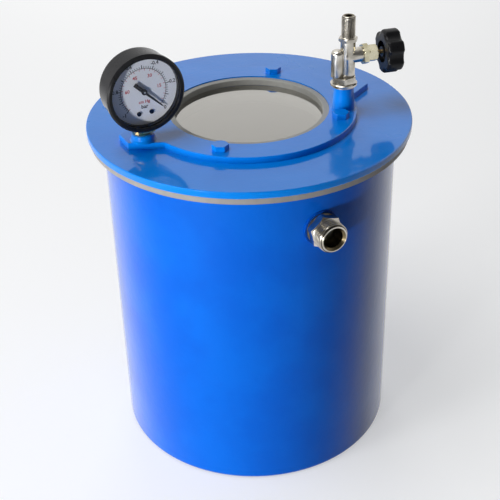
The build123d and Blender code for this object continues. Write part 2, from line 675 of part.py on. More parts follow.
def bourdon_tube():
    """Flattened C-shaped tube from the stem's block, closed by its end piece."""
    tip = Pos(BOURDON_RADIUS, 0, 0) * Rot(90, 0, 0) * extrude(Rectangle(3.0, BOURDON_WIDTH + 0.4), -2.6)
    lug_top = link_low() - TIP_CLEARANCE - BOURDON_MIDDLE
    lug = Pos(BOURDON_RADIUS, 0, 0) * Rot(0, 0, TIP_LEAD) * Pos(0, 1.2, 0) * rod(1.1, 0, lug_top)
    whole = bourdon_sweep() + Rot(0, 0, BOURDON_START + BOURDON_SWEEP) * (tip + lug)
    return GAUGE_PLACE * facing(Pos(0, 0, BOURDON_MIDDLE) * whole)


# ---------------------------------------------------------------- needle valve
def valve_boss():
    """Conical boss welded to the clamp ring, bored for the gas and the valve's spigot."""
    top = CLAMP_TOP + VALVE_BOSS_HEIGHT
    foot = VALVE_BOSS_ROOT_RADIUS
    socket = VALVE_SPIGOT_RADIUS + THREAD_CLEARANCE
    socket_floor = top - VALVE_SPIGOT_LENGTH - 1.0
    return VALVE_BOSS_PLACE * turned(
        (PASSAGE_RADIUS, CLAMP_TOP),
        (foot + VALVE_BOSS_FLARE, CLAMP_TOP),
        (foot, CLAMP_TOP + VALVE_BOSS_FLARE),
        (VALVE_BOSS_TOP_RADIUS + 0.4, top - 1.2),
        (VALVE_BOSS_TOP_RADIUS, top),
        (socket, top),
        (socket, socket_floor),
        (PASSAGE_RADIUS, socket_floor),
    )


def valve_washer():
    """Copper sealing washer under the valve's flange."""
    bore = VALVE_SPIGOT_RADIUS + 2 * THREAD_CLEARANCE
    return VALVE_PLACE * pipe(VALVE_FLANGE_RADIUS - 1.2, bore, -VALVE_WASHER_THICKNESS, 0)


def valve_body():
    """Plated body: spigot, flange and hexagon, two joined barrels, side branch and outlet thread."""
    spigot = rod(VALVE_SPIGOT_RADIUS, -VALVE_SPIGOT_LENGTH, 0)
    flange = rod(VALVE_FLANGE_RADIUS, 0, VALVE_FLANGE_THICKNESS)
    flange = chamfer(flange.edges().filter_by(GeomType.CIRCLE).group_by(Axis.Z)[-1], 0.6)
    nut = Rot(0, 0, 14) * hexagon(VALVE_HEX_FLATS, VALVE_FLANGE_THICKNESS, BODY_START)
    collar_top = BARREL_TOP + COLLAR_HEIGHT
    mouth = collar_top + OUTLET_THREAD_LENGTH
    barrel = rod(BARREL_RADIUS, BODY_START, BARREL_TOP) + hexagon(COLLAR_FLATS, BARREL_TOP, collar_top, 0.5)
    thread = rod(OUTLET_THREAD_RADIUS, collar_top, mouth)
    barrel += chamfer(thread.edges().filter_by(GeomType.CIRCLE).group_by(Axis.Z)[-1], 0.8)
    lobe = rod(INLET_LOBE_RADIUS, BODY_START, INLET_LOBE_TOP)
    lobe = fillet(lobe.edges().filter_by(GeomType.CIRCLE).group_by(Axis.Z)[-1], 3.0)
    branch = Pos(0, 0, BRANCH_HEIGHT) * Rot(0, 90, 0) * rod(BRANCH_RADIUS - 0.6, 0, BONNET_END)
    branch += Pos(0, 0, BRANCH_HEIGHT) * Rot(0, 90, 0) * rod(BRANCH_RADIUS, 0, BRANCH_LENGTH)
    body = spigot + flange + nut + Pos(BARREL_OFFSET, 0) * barrel + Pos(INLET_LOBE_OFFSET, 0) * lobe
    body += Pos(INLET_LOBE_OFFSET / 2, 0, BODY_START) * extrude(
        Rectangle(-INLET_LOBE_OFFSET, INLET_LOBE_RADIUS), INLET_LOBE_TOP - BODY_START - 3.0
    )
    body += branch
    return VALVE_PLACE * (body - valve_bores(mouth))


def valve_bores(mouth):
    """Inlet drilling, seat, stem chamber, packing pocket and outlet drilling."""
    inlet_top = BRANCH_HEIGHT + SEAT_RADIUS
    bores = Pos(INLET_BORE_OFFSET, 0) * rod(INLET_BORE_RADIUS, -VALVE_SPIGOT_LENGTH, inlet_top)
    bores += Pos(BARREL_OFFSET, 0) * rod(OUTLET_BORE_RADIUS, BRANCH_HEIGHT, mouth)
    across = rod(SEAT_RADIUS, INLET_BORE_OFFSET, SEAT_FACE)
    across += rod(STEM_SCREW_RADIUS + RUNNING_CLEARANCE, SEAT_FACE, PACKING_START)
    across += rod(PACKING_RADIUS, PACKING_START, BONNET_END)
    return bores + Pos(0, 0, BRANCH_HEIGHT) * Rot(0, 90, 0) * across


def valve_bonnet_ring():
    """Hexagon lock ring on the branch's thread."""
    ring = hexagon(BONNET_FLATS, BRANCH_LENGTH, BONNET_END, 0.5)
    return STEM_PLACE * (ring - rod(BRANCH_RADIUS - 0.6 + THREAD_CLEARANCE, BRANCH_LENGTH, BONNET_END))


def valve_packing():
    """Soft packing ring round the stem."""
    bore = STEM_RADIUS + PACKING_CLEARANCE
    return STEM_PLACE * pipe(PACKING_RADIUS, bore, PACKING_START, BONNET_END)


def valve_gland_nut():
    """Gland nut that presses the packing, hexagonal with a turned nose."""
    nut = hexagon(GLAND_FLATS, BONNET_END, GLAND_END, 0.8)
    return STEM_PLACE * (nut - rod(STEM_RADIUS + RUNNING_CLEARANCE, BONNET_END, GLAND_END))


def valve_stem():
    """Brass stem: needle, operating screw and the shaft to the knob."""
    screw_end = STEM_SCREW_START + STEM_SCREW_LENGTH
    return STEM_PLACE * turned(
        (0, NEEDLE_TIP),
        (NEEDLE_TIP_RADIUS, NEEDLE_TIP),
        (STEM_RADIUS, SEAT_FACE + STEM_RADIUS),
        (STEM_RADIUS, STEM_SCREW_START),
        (STEM_SCREW_RADIUS, STEM_SCREW_START + 0.5),
        (STEM_SCREW_RADIUS, screw_end - 0.5),
        (STEM_RADIUS, screw_end),
        (STEM_RADIUS, STEM_END),
        (0, STEM_END),
    )


def valve_knob():
    """Black moulded hand knob: six lobes, a dished back with a hub, a flat front with a recess."""
    low, high = KNOB_START, KNOB_START + KNOB_THICKNESS
    outline = Circle(KNOB_RADIUS)
    for n in range(KNOB_LOBES):
        turn = Rot(0, 0, (n + 0.5) * 360 / KNOB_LOBES)
        outline -= turn * Pos(KNOB_SCALLOP_CENTRE, 0) * Circle(KNOB_SCALLOP_RADIUS)
    outline = fillet(outline.vertices(), KNOB_LOBE_FILLET)
    blank = Pos(0, 0, low) * extrude(outline, KNOB_THICKNESS)
    blank = fillet(blank.edges().group_by(Axis.Z)[0] + blank.edges().group_by(Axis.Z)[-1], KNOB_EDGE_FILLET)
    blank -= pipe(KNOB_DISH_RADIUS, KNOB_HUB_RADIUS, low, low + KNOB_DISH_DEPTH)
    blank -= rod(STEM_RADIUS + THREAD_CLEARANCE, low, STEM_END)
    return STEM_PLACE * (blank - rod(KNOB_SCREW_RADIUS + 0.2, STEM_END, high))


def knob_screw():
    """Slotted screw that holds the knob on the stem's end."""
    head = rod(KNOB_SCREW_RADIUS, STEM_END, STEM_END + KNOB_SCREW_HEAD)
    slot = Pos(0, 0, STEM_END + KNOB_SCREW_HEAD) * Box(2 * KNOB_SCREW_RADIUS + 1, 0.8, 1.2)
    return STEM_PLACE * (head - slot)


PARTS = {
    "vessel_shell": vessel_shell(),
    "vessel_base": vessel_base(),
    "port_bush": port_bush(),
    "port_washer": port_washer(),
    "port_nipple": port_nipple(),
    "lid_plate": lid_plate(),
    "lid_gasket": lid_gasket(),
    "clamp_ring": clamp_ring(),
    "window_seat": window_seat(),
    "window_seal_lower": window_seal_lower(),
    "window_glass": window_glass(),
    "window_seal_upper": window_seal_upper(),
    "clamp_bolts": Compound([clamp_bolt(place) for place in BOLT_PLACES]),
    "gauge_boss": gauge_boss(),
    "gauge_stem": gauge_stem(),
    "gauge_case": gauge_case(),
    "gauge_bezel": gauge_bezel(),
    "gauge_lens": gauge_lens(),
    "gauge_lens_ring": gauge_lens_ring(),
    "gauge_dial": gauge_dial(),
    "gauge_dial_screws": Compound([dial_screw(place) for place in dial_screw_places()]),
    "gauge_movement_plates": movement_plates(),
    "gauge_pointer_arbor": pointer_arbor(),
    "gauge_pointer": pointer(),
    "gauge_sector": sector_gear(),
    "gauge_link": gauge_link(),
    "gauge_hairspring": hairspring(),
    "gauge_bourdon_tube": bourdon_tube(),
    "valve_boss": valve_boss(),
    "valve_washer": valve_washer(),
    "valve_body": valve_body(),
    "valve_bonnet_ring": valve_bonnet_ring(),
    "valve_packing": valve_packing(),
    "valve_gland_nut": valve_gland_nut(),
    "valve_stem": valve_stem(),
    "valve_knob": valve_knob(),
    "valve_knob_screw": knob_screw(),
}
os.makedirs("parts", exist_ok=True)
for name, solid in PARTS.items():
    export_step(solid, f"parts/{name}.step")
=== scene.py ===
"""Looks of a steel vacuum chamber: blue enamelled vessel and lid, sight glass, dial gauge,
needle valve and pump port. Lengths are in metres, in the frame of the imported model."""

import math
from typing import NamedTuple

import bmesh
import bpy
import numpy as np
from mathutils import Matrix, Vector


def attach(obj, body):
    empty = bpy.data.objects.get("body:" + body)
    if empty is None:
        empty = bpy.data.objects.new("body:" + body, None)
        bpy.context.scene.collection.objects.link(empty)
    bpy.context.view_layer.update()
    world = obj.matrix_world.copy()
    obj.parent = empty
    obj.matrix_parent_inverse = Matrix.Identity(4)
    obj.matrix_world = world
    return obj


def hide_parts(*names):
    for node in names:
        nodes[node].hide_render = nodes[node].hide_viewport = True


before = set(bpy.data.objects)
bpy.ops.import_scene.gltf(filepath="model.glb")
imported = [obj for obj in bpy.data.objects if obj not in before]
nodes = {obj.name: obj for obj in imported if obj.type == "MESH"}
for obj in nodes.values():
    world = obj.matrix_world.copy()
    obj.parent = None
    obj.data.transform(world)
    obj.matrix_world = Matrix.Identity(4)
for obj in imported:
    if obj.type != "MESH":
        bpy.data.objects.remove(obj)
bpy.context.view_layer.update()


# ---------------------------------------------------------------- vessel
# The vessel is a tube rolled from 4 mm steel sheet and seam-welded, with a disc welded in its
# foot. It is enamelled blue outside. Inside it is left in a pale matt primer with rub marks.


class Value:
    """A number that changes over a surface. + - * ** on it add Math nodes."""

    def __init__(self, tree, socket):
        self.tree = tree
        self.socket = socket

    def math(self, operation, first, second):
        inputs = {0: first, 1: second}
        return make_node(self.tree, "ShaderNodeMath", {"operation": operation}, inputs)

    def __add__(self, other):
        return self.math("ADD", self, other)

    def __sub__(self, other):
        return self.math("SUBTRACT", self, other)

    def __rsub__(self, other):
        return self.math("SUBTRACT", other, self)

    def __mul__(self, other):
        return self.math("MULTIPLY", self, other)

    def __pow__(self, other):
        return self.math("POWER", self, other)

    __radd__ = __add__
    __rmul__ = __mul__

    def larger(self, other):
        """The larger of this and another number."""
        return self.math("MAXIMUM", self, other)

    def between(self, low, high):
        """Runs from low to high while this runs from 0 to 1."""
        return low + (high - low) * self

    def smooth(self, low, high):
        """0 below low, 1 above high, and a smooth step between."""
        settings = {"interpolation_type": "SMOOTHSTEP"}
        inputs = {"Value": self, "From Min": low, "From Max": high}
        return make_node(self.tree, "ShaderNodeMapRange", settings, inputs)

    def within(self, low, high, soft):
        """1 between low and high, 0 outside, with soft edges."""
        return self.smooth(low - soft, low) * (1 - self.smooth(high, high + soft))


def join(tree, place, item):
    """Puts a number, colour or link on a socket."""
    if isinstance(item, Value):
        tree.links.new(item.socket, place)
    else:
        place.default_value = item


def make_node(tree, kind, settings=None, inputs=None, output=0):
    """One node: its type, its settings, the values or links of its sockets, and the output used."""
    node = tree.nodes.new(kind)
    for name, setting in (settings or {}).items():
        setattr(node, name, setting)
    for name, item in (inputs or {}).items():
        join(tree, node.inputs[name], item)
    return Value(tree, node.outputs[output])


class Finish:
    """A material on one Principled shader, with the patterns that feed it."""

    # The Mix node's colour sockets: its two inputs and its output.
    MIX_FIRST = 6
    MIX_SECOND = 7
    MIX_RESULT = 2

    def __init__(self, name, **sockets):
        self.material = bpy.data.materials.new(name)
        self.material.use_nodes = True
        self.tree = self.material.node_tree
        self.shader = self.tree.nodes["Principled BSDF"]
        self.object = self.node("ShaderNodeTexCoord", output="Object")
        for socket, item in sockets.items():
            self.feed(socket.replace("_", " "), item)

    def node(self, kind, settings=None, inputs=None, output=0):
        return make_node(self.tree, kind, settings, inputs, output)

    def feed(self, socket, item):
        """Puts a number, colour or pattern on one of the shader's sockets."""
        join(self.tree, self.shader.inputs[socket], item)

    def fed(self, socket):
        """The pattern that is on one of the shader's sockets so far."""
        return Value(self.tree, self.shader.inputs[socket].links[0].from_socket)

    def vector_math(self, operation, first, second, output=0):
        inputs = {0: first, 1: second}
        return self.node("ShaderNodeVectorMath", {"operation": operation}, inputs, output)

    def along(self, direction, centre=(0, 0, 0)):
        """Distance from a centre along a direction."""
        offset = self.vector_math("SUBTRACT", self.object, centre)
        unit_direction = tuple(Vector(direction).normalized())
        return self.vector_math("DOT_PRODUCT", offset, unit_direction, "Value")

    def away(self, centre):
        """Distance from a centre, whichever way."""
        return self.vector_math("DISTANCE", self.object, centre, "Value")

    def noise(self, scale, detail=2, stretch=(1, 1, 1)):
        """Cloudy noise from 0 to 1, about 1/scale metres across, stretched along the axes."""
        place = self.node("ShaderNodeMapping", None, {"Vector": self.object, "Scale": stretch})
        inputs = {"Vector": place, "Scale": scale, "Detail": detail}
        return self.node("ShaderNodeTexNoise", None, inputs)

    def blend(self, amount, first, second):
        """The first colour where amount is 0 and the second where it is 1."""
        inputs = {"Factor": amount, self.MIX_FIRST: first, self.MIX_SECOND: second}
        return self.node("ShaderNodeMix", {"data_type": "RGBA"}, inputs, self.MIX_RESULT)

    def edge_on(self, low, high):
        """0 where the surface faces the eye and 1 where it is seen edge-on, for gloss alone."""
        return self.node("ShaderNodeLayerWeight", None, {"Blend": 0.5}, "Facing").smooth(low, high)

    def bump(self, height, depth):
        """Raises the surface by height times depth metres."""
        inputs = {"Height": height, "Distance": depth, "Strength": 1.0}
        self.feed("Normal", self.node("ShaderNodeBump", None, inputs))


ENAMEL_BLUE = (0.0006, 0.135, 0.70, 1)
ENAMEL_DEEP = (0.0005, 0.112, 0.64, 1)
ENAMEL_COAT = {"Coat_Roughness": 0.07, "Coat_IOR": 1.7, "Specular_IOR_Level": 0.08}
VESSEL_GLOSS = {"start": 0.32, "full": 0.78, "most": 0.9}
LEAST_COAT = 0.04
CLOUD = {"scale": 22, "detail": 3}
PEEL_DEPTH = 0.00018
PIMPLE_SHARE = 0.45


def orange_peel(finish):
    """Fine pimples on a broader wave, as on sprayed paint."""
    pimples = finish.noise(scale=420)
    wave = finish.noise(scale=95)
    finish.bump(PIMPLE_SHARE * pimples + wave, PEEL_DEPTH)


def enamel(name, blue, deep, start, full, most):
    """Sprayed gloss enamel: deep blue with slight cloudiness and an orange-peel surface.

    The gloss coat grows from the slant start to the slant full, where it is at its most.
    """
    paint = Finish(name, **ENAMEL_COAT)
    cloud = paint.noise(**CLOUD)
    paint.feed("Base Color", paint.blend(cloud.smooth(0.3, 0.7), blue, deep))
    paint.feed("Roughness", cloud.between(0.24, 0.34))
    paint.feed("Coat Weight", LEAST_COAT + most * paint.edge_on(start, full))
    orange_peel(paint)
    return paint


PRIMER = (0.82, 0.80, 0.755, 1)
PRIMER_RUBBED = (0.86, 0.845, 0.81, 1)


def rubbed(finish, scale, detail, colour, worn):
    """A primer's colour, with paler patches where it was rubbed."""
    return finish.blend(finish.noise(scale, detail).smooth(0.35, 0.7), colour, worn)


def axis_distance(finish):
    """Distance from the vessel's axis."""
    across = finish.along((1, 0, 0))
    beside = finish.along((0, 1, 0))
    return (across * across + beside * beside) ** 0.5


def dress(node, finish):
    """Puts a finish on a CAD node."""
    mesh = nodes[node].data
    mesh.materials.clear()
    mesh.materials.append(finish.material)


BORE_RADIUS = 0.100
PAINT_START = BORE_RADIUS + 0.0002
PAINT_FULL = BORE_RADIUS + 0.0012
PRIMER_ROUGH = 0.55
PAINT_ROUGH = 0.31
CLOUD_ROUGH = 0.08

shell_finish = enamel("vessel_enamel", ENAMEL_BLUE, ENAMEL_DEEP, **VESSEL_GLOSS)
outside = axis_distance(shell_finish).smooth(PAINT_START, PAINT_FULL)
primer = rubbed(shell_finish, 30, 2, PRIMER, PRIMER_RUBBED)
paint = shell_finish.fed("Base Color")
shell_finish.feed("Base Color", shell_finish.blend(outside, primer, paint))
matt = outside.between(PRIMER_ROUGH, PAINT_ROUGH)
shell_finish.feed("Roughness", matt + CLOUD_ROUGH * shell_finish.noise(**CLOUD))
shell_finish.feed("Coat Weight", outside * shell_finish.fed("Coat Weight"))
dress("vessel_shell", shell_finish)

DISC_PAINT_TOP = 0.0042
DISC_PRIMER_START = 0.0048

disc_finish = Finish("vessel_floor", **ENAMEL_COAT)
top_side = disc_finish.along((0, 0, 1)).smooth(DISC_PAINT_TOP, DISC_PRIMER_START)
primer = rubbed(disc_finish, 45, 4, PRIMER, PRIMER_RUBBED)
disc_finish.feed("Base Color", disc_finish.blend(top_side, ENAMEL_DEEP, primer))
disc_finish.feed("Roughness", top_side.between(0.34, 0.58))
disc_finish.feed("Coat Weight", top_side.between(0.2, 0))
orange_peel(disc_finish)
dress("vessel_base", disc_finish)


# ---------------------------------------------------------------- lid
# The lid is a flat steel plate, with a thinner clamp ring and its two ears on top and a seat
# ring below. The top is sprayed in one coat with the bolts in, and the seat ring is primed.
# The top's blue is the vessel's enamel made paler, as painted light for the light on it.
# Painted light: a paler copy of the vessel's blue, standing for the light on the lid's top.
LID_PAINTED_LIGHT_BLUE = (0.0006, 0.22, 0.78, 1)
LID_PAINTED_LIGHT_DEEP = (0.0005, 0.195, 0.72, 1)
LID_GLOSS = {"start": 0.2, "full": 0.5, "most": 0.62}
SEAT_PRIMER = (0.50, 0.485, 0.45, 1)
SEAT_RUBBED = (0.58, 0.565, 0.53, 1)
SEAT_PATCH = {"scale": 60, "detail": 4}
SEAT_RELIEF = 0.0001

# Painted light: the lid, clamp ring, bolts and bosses all take the paler blue.
lid_painted_light_finish = enamel("lid_enamel_painted_light", LID_PAINTED_LIGHT_BLUE, LID_PAINTED_LIGHT_DEEP, **LID_GLOSS)
for painted in ("lid_plate", "clamp_ring", "clamp_bolts", "gauge_boss", "valve_boss"):
    dress(painted, lid_painted_light_finish)

seat_finish = Finish("seat_primer", Roughness=PRIMER_ROUGH)
seat_colour = rubbed(seat_finish, **SEAT_PATCH, colour=SEAT_PRIMER, worn=SEAT_RUBBED)
seat_finish.feed("Base Color", seat_colour)
seat_finish.bump(seat_finish.noise(**SEAT_PATCH), SEAT_RELIEF)
dress("window_seat", seat_finish)


# ---------------------------------------------------------------- gasket and window seals
# The gasket is a flat ring of grey silicone bonded under the lid. The window's seals are thin
# rubber rings, brown-grey above the glass and sprayed over with the seat's primer below it.
def mottled(name, low, high, rough, scale, detail=2, spread=0.0, depth=0.0, **sockets):
    """A material whose colour drifts in patches from low to high.

    Where the patches are high it is rougher by spread and raised by depth metres.
    """
    finish = Finish(name, Roughness=rough, **sockets)
    patch = finish.noise(scale, detail)
    finish.feed("Base Color", finish.blend(patch, low, high))
    if spread:
        finish.feed("Roughness", rough + spread * patch)
    if depth:
        finish.bump(patch, depth)
    return finish


silicone = mottled(
    "gasket_silicone",
    low=(0.25, 0.24, 0.225, 1),
    high=(0.34, 0.325, 0.305, 1),
    rough=0.48,
    scale=130,
    detail=3,
    depth=0.0002,
)
dress("lid_gasket", silicone)

rubber = mottled(
    "seal_rubber",
    low=(0.30, 0.30, 0.28, 1),
    high=(0.38, 0.38, 0.36, 1),
    rough=0.62,
    scale=300,
    depth=0.0001,
)
dress("window_seal_upper", rubber)
dress("window_seal_lower", seat_finish)


# ---------------------------------------------------------------- sight glass
# The sight glass is a clear toughened disc 8 mm thick with ground edges. It shows the pale
# inside of the vessel, with a faint sheen on its face.
def clear_finish(name, tint, mirror, gloss):
    """Clear sheet: lets light straight through, tinted, and mirrors a little more at a slant."""
    sheet = Finish(name, Base_Color=mirror, Metallic=1.0, Roughness=0.04)
    through = sheet.node("ShaderNodeBsdfTransparent", None, {"Color": tint})
    edge = sheet.node("ShaderNodeFresnel", None, {"IOR": 1.45})
    back = sheet.node("ShaderNodeNewGeometry", output="Backfacing")
    amount = edge * gloss * (1 - back)
    shine = Value(sheet.tree, sheet.shader.outputs["BSDF"])
    mixed = sheet.node("ShaderNodeMixShader", None, {0: amount, 1: through, 2: shine})
    join(sheet.tree, sheet.tree.nodes["Material Output"].inputs["Surface"], mixed)
    return sheet


window_clear = clear_finish(
    "sight_glass",
    tint=(0.985, 0.985, 0.975, 1),
    mirror=(0.60, 0.585, 0.55, 1),
    gloss=6.5,
)
dress("window_glass", window_clear)

lens_clear = clear_finish(
    "gauge_lens",
    tint=(0.99, 0.99, 0.995, 1),
    mirror=(0.9, 0.92, 0.95, 1),
    gloss=0.3,
)
dress("gauge_lens", lens_clear)


# ---------------------------------------------------------------- pump port
# The nipple is nickel-plated brass with a half-inch parallel thread, a hexagon and a bevelled
# mouth. It screws into a bush in the wall against a plated washer. Its thread's grooves carry
# painted shade, partly standing for grime, and its bore painted shade.
def plated(name, low, high, rough):
    """Satin nickel plating: polished metal with faint cloudy patches and fine streaks."""
    metal = Finish(name, Metallic=1.0)
    patch = metal.noise(scale=140, detail=3)
    streak = metal.noise(scale=700, stretch=(1, 1, 0.15))
    metal.feed("Base Color", metal.blend(patch.smooth(0.35, 0.65), low, high))
    metal.feed("Roughness", rough + 0.08 * streak + 0.05 * patch)
    metal.bump(patch, 0.00005)
    return metal


def add_piece(name, mesh, finish, body):
    """A mesh object with one finish, riding on a body."""
    mesh.materials.clear()
    mesh.materials.append(finish.material)
    piece = bpy.data.objects.new(name, mesh)
    bpy.context.scene.collection.objects.link(piece)
    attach(piece, body)
    return piece


def surface(name, points, faces, finish, body):
    """A piece made from an array of points and an array of faces."""
    mesh = bpy.data.meshes.new(name)
    mesh.from_pydata(points.reshape(-1, 3).tolist(), [], faces.tolist())
    return add_piece(name, mesh, finish, body)


def mesh_points(mesh):
    """A mesh's points, as an array with a row for each."""
    points = np.empty(len(mesh.vertices) * 3)
    mesh.vertices.foreach_get("co", points)
    return points.reshape(-1, 3)


def mesh_triangles(mesh):
    """A mesh's triangles, as an array with a row of three point numbers for each."""
    mesh.calc_loop_triangles()
    triangles = np.empty(len(mesh.loop_triangles) * 3, dtype=np.int32)
    mesh.loop_triangles.foreach_get("vertices", triangles)
    return triangles.reshape(-1, 3)


def unit(vector):
    """A vector, or each row of an array of vectors, at length one."""
    return vector / np.linalg.norm(vector, axis=-1, keepdims=True)


class Thread(NamedTuple):
    """A threaded spigot: where it starts, which way it points, and its sizes.

    shaded_length is the length over which painted shade, partly standing for grime, darkens the
    grooves; behind the root the bore's painted shade fades out over half of it.
    """

    root: tuple
    direction: tuple
    radius: float
    length: float
    bevel: float
    pitch: float
    bore: float
    shaded_length: float


THREAD_DEPTH = 0.64
THREAD_FLAT = 0.125
THREAD_FADE = 0.5
THREAD_COLUMNS = 72
ROWS_PER_PITCH = 14
SIDE_TOLERANCE = 0.00003
WELD_DISTANCE = 0.000001
NOT_ZERO = 1e-30
END_FACING = 0.9
SHARP_ANGLE = math.radians(32)


def on_plain_side(points, triangles, thread):
    """Which triangles lie on the spigot's side, between its root and its bevelled tip."""
    along = unit(np.array(thread.direction, dtype=float))
    offset = points - np.array(thread.root)
    distance = offset @ along
    reach = np.linalg.norm(offset - distance[:, None] * along, axis=1)
    tip = thread.radius - thread.bevel
    near = (distance > -SIDE_TOLERANCE) & (distance < thread.length + SIDE_TOLERANCE)
    near &= (reach > tip - SIDE_TOLERANCE) & (reach < thread.radius + SIDE_TOLERANCE)
    first, second, third = np.moveaxis(points[triangles], 1, 0)
    normals = unit(np.cross(second - first, third - first) + NOT_ZERO)
    return near[triangles].all(axis=1) & (np.abs(normals @ along) < END_FACING)


def thread_grid(thread):
    """The points and triangles of the thread's own surface.

    A grid of distance s along the axis and turn t round it has the radius
    R - depth * groove(s / pitch - t / 2 pi). The groove is a triangle wave with flat tops that
    fades in over the first half pitch, and the radius is never more than that of the bevelled
    tip, R - bevel + (length - s).
    """
    along = unit(np.array(thread.direction, dtype=float))
    across = np.array(Vector(thread.direction).orthogonal().normalized())
    beside = np.cross(along, across)
    rows = int(thread.length / thread.pitch * ROWS_PER_PITCH) + 1
    turn = np.linspace(0, 2 * math.pi, THREAD_COLUMNS, endpoint=False)
    step = np.linspace(0, thread.length, rows)[:, None]
    phase = (step / thread.pitch - turn / (2 * math.pi)) % 1.0
    wave = 1 - np.abs(2 * phase - 1)
    groove = np.clip((1 + 2 * THREAD_FLAT) * wave - THREAD_FLAT, 0, 1)
    fade = np.clip(step / (THREAD_FADE * thread.pitch), 0, 1)
    cut = THREAD_DEPTH * thread.pitch * groove * fade
    bevelled = thread.radius - thread.bevel + (thread.length - step)
    size = np.minimum(thread.radius - cut, bevelled)
    ring = np.cos(turn)[:, None] * across + np.sin(turn)[:, None] * beside
    grid = np.array(thread.root) + step[..., None] * along + size[..., None] * ring

    corner = np.arange((rows - 1) * THREAD_COLUMNS).reshape(rows - 1, THREAD_COLUMNS)
    after = np.roll(corner, -1, axis=1)
    above, after_above = corner + THREAD_COLUMNS, after + THREAD_COLUMNS
    first = np.stack((corner, after, after_above), -1).reshape(-1, 3)
    second = np.stack((corner, after_above, above), -1).reshape(-1, 3)
    return grid.reshape(-1, 3), np.concatenate((first, second))


def threaded(name, node, thread, finish):
    """A copy of a CAD piece with a real thread in place of its spigot's plain side."""
    points = mesh_points(nodes[node].data)
    triangles = mesh_triangles(nodes[node].data)
    kept = triangles[~on_plain_side(points, triangles, thread)]
    ridges, ridge_triangles = thread_grid(thread)
    every = np.concatenate((points, ridges))
    faces = np.concatenate((kept, ridge_triangles + len(points)))
    used, numbers = np.unique(faces, return_inverse=True)
    faces = numbers.reshape(-1, 3)
    piece = surface(name, every[used], faces, finish, "chamber")
    shape = bmesh.new()
    shape.from_mesh(piece.data)
    bmesh.ops.remove_doubles(shape, verts=shape.verts, dist=WELD_DISTANCE)
    shape.to_mesh(piece.data)
    shape.free()
    piece.data.shade_smooth()
    piece.data.set_sharp_from_angle(angle=SHARP_ANGLE)
    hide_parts(node)


NICKEL_LOW = (0.46, 0.43, 0.37, 1)
NICKEL_HIGH = (0.70, 0.665, 0.60, 1)
NICKEL_ROUGH = 0.16
# Painted shade: thread grooves darken toward this colour, partly standing for grime; the bore darkens
# toward brown.
GROOVE_SHADE_AND_GRIME = (0.03, 0.025, 0.018, 1)
GROOVE_SHADE_FULL = 0.55
GROOVE_SHADE_START = 0.05
GROOVE_SHADE_ROOT_GAP = 0.0003
BORE_SHADE_BROWN = (0.16, 0.125, 0.07, 1)
SOFT_EDGE = 0.0002


def shaded_thread_nickel(name, thread):
    """Nickel plating with painted shade in a thread's grooves (partly grime) and in its bore."""
    metal = plated(name, NICKEL_LOW, NICKEL_HIGH, NICKEL_ROUGH)
    step = metal.along(thread.direction, thread.root)
    offset = metal.away(thread.root)
    reach = (offset * offset - step * step) ** 0.5
    full = thread.radius - GROOVE_SHADE_FULL * thread.pitch
    start = thread.radius - GROOVE_SHADE_START * thread.pitch
    wall = reach.smooth(thread.bore, thread.bore + SOFT_EDGE)
    # Painted shade in the grooves, partly standing for grime, and painted shade inside the bore.
    groove = 1 - reach.smooth(full, start)
    groove = groove * step.within(GROOVE_SHADE_ROOT_GAP, thread.shaded_length, SOFT_EDGE) * wall
    inner = (1 - wall) * step.smooth(-0.5 * thread.shaded_length, 0)
    worn = metal.blend(groove, metal.fed("Base Color"), GROOVE_SHADE_AND_GRIME)
    metal.feed("Base Color", metal.blend(inner, worn, BORE_SHADE_BROWN))
    return metal


PORT_BEARING = math.radians(-64.4)
PORT_HEIGHT = 0.2135
PORT_THREAD_START = 0.112
PORT_OUT = (math.cos(PORT_BEARING), math.sin(PORT_BEARING), 0.0)
PORT_THREAD = Thread(
    root=(PORT_OUT[0] * PORT_THREAD_START, PORT_OUT[1] * PORT_THREAD_START, PORT_HEIGHT),
    direction=PORT_OUT,
    radius=0.01048,
    length=0.010,
    bevel=0.0015,
    pitch=0.001814,
    bore=0.0082,
    shaded_length=0.0096,
)
WASHER_LOW = (0.22, 0.2, 0.17, 1)
WASHER_HIGH = (0.36, 0.34, 0.3, 1)
# Painted shade: the bush takes a darker copy of the vessel's blue, standing for shadow round the
# hexagon.
BUSH_SHADED_BLUE = (0.0004, 0.07, 0.42, 1)
BUSH_SHADED_DEEP = (0.0004, 0.055, 0.36, 1)

port_nickel = shaded_thread_nickel("port_nickel", PORT_THREAD)
threaded("port_nipple_threaded", "port_nipple", PORT_THREAD, port_nickel)
dress("port_washer", plated("washer_plating", WASHER_LOW, WASHER_HIGH, rough=0.3))
dress("port_bush", enamel("bush_enamel_painted_shade", BUSH_SHADED_BLUE, BUSH_SHADED_DEEP, **VESSEL_GLOSS))


# ---------------------------------------------------------------- gauge
# The gauge's case is a pressed steel cup in black enamel with a rolled bezel over its rim. The
# brass stem with its square screws into the boss on the lid's left ear. The movement is brass,
# its Bourdon tube bronze and its arbor steel.
black = mottled(
    "gauge_enamel",
    low=(0.006, 0.006, 0.007, 1),
    high=(0.014, 0.014, 0.016, 1),
    rough=0.22,
    spread=0.14,
    scale=260,
    detail=3,
    depth=0.00006,
    Coat_Roughness=0.06,
    Specular_IOR_Level=0.12,
)
black.feed("Coat Weight", black.edge_on(0.55, 0.95).between(0.1, 0.8))
for dark in ("gauge_case", "gauge_bezel", "gauge_lens_ring"):
    dress(dark, black)

